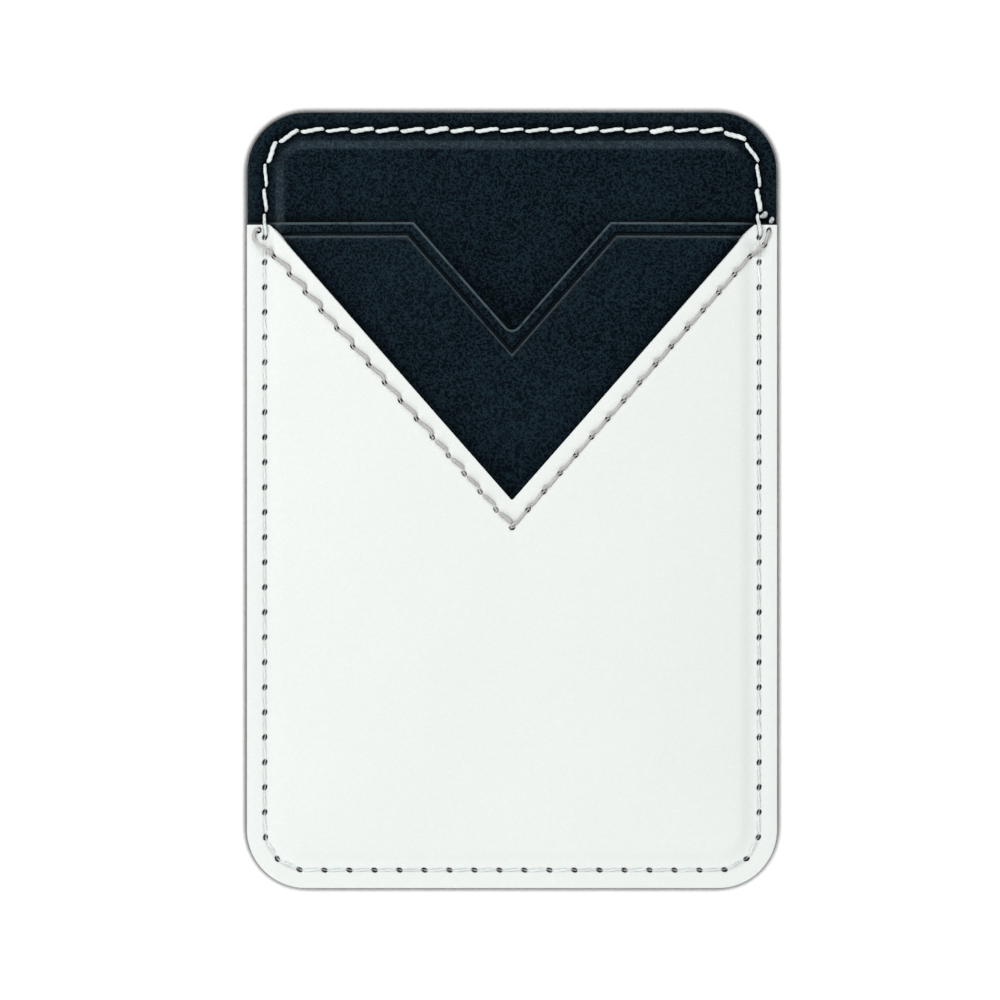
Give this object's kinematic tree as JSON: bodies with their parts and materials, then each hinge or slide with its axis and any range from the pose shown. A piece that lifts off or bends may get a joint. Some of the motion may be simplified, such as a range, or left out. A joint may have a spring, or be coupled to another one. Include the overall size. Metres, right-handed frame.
{
  "type": "stick on phone card holder",
  "caption": "Flat stick on card holder of black and white synthetic leather, with a V-cut front pocket, a notched inner pocket and pale stitching.",
  "frame": {"origin": "middle of the release liner's outer face, on the surface that the holder lies on", "axes": "+X to the right across the holder, +Y up its face towards the pocket mouths, +Z out of its front"},
  "size_m": [0.065, 0.0952, 0.0059],
  "materials": {
    "black_leather": "fine grain, satin",
    "white_leather": "smooth, satin",
    "white_thread": "twisted polyester",
    "adhesive_foam": "matte foam",
    "release_liner": "coated paper",
    "stiffener_board": "grey board"
  },
  "bodies": {
    "root": {"release_liner": "release_liner", "adhesive_pad": "adhesive_foam", "rear_panel": "black_leather", "stiffener_board": "stiffener_board", "back_panel_lining": "black_leather", "inner_pocket_panel": "black_leather", "front_pocket_panel": "white_leather", "perimeter_needle_thread": "white_thread", "perimeter_bobbin_thread": "white_thread", "v_seam_needle_thread": "white_thread", "v_seam_bobbin_thread": "white_thread"}
  },
  "joints": []
}
